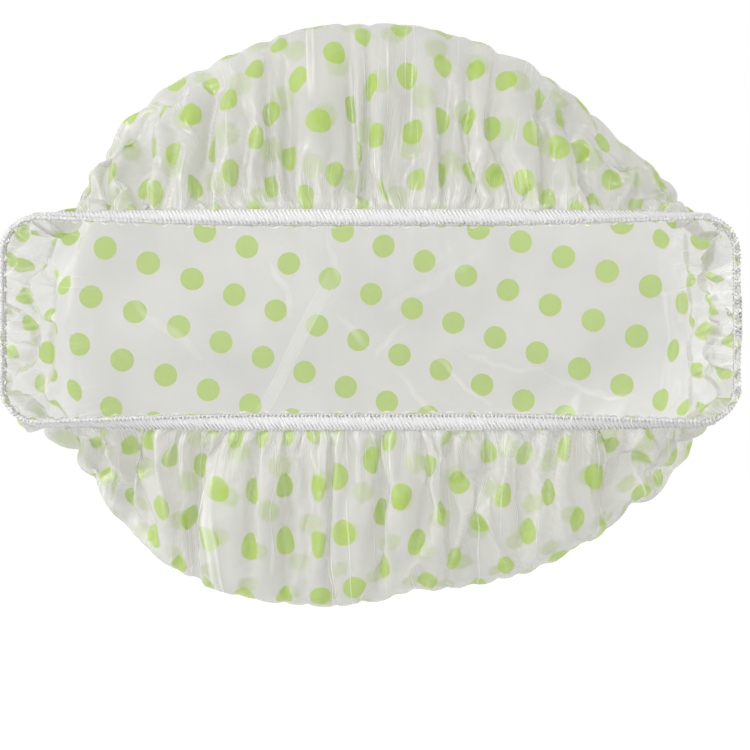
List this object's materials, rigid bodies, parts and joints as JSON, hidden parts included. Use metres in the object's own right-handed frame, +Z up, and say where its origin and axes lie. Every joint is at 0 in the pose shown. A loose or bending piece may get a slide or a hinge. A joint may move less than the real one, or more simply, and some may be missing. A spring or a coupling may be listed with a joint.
{
  "type": "shower cap",
  "caption": "Gathered plastic-film shower cap with a spot print and an elastic band overlocked round its mouth, held open.",
  "frame": {"origin": "centre of the mouth, in the plane of the hem", "axes": "+X along the mouth's long side, +Z up across its short side, +Y back into the cap, so the mouth faces -Y"},
  "size_m": [0.2891, 0.1092, 0.2333],
  "materials": {
    "printed_film": "frosted translucent film with a light green spot print",
    "elastic": "braided elastic, white",
    "thread": "spun polyester, white"
  },
  "bodies": {
    "root": {"film": "printed_film", "elastic_band": "elastic", "needle_thread": "thread", "upper_looper_thread": "thread", "lower_looper_thread": "thread"}
  },
  "joints": []
}
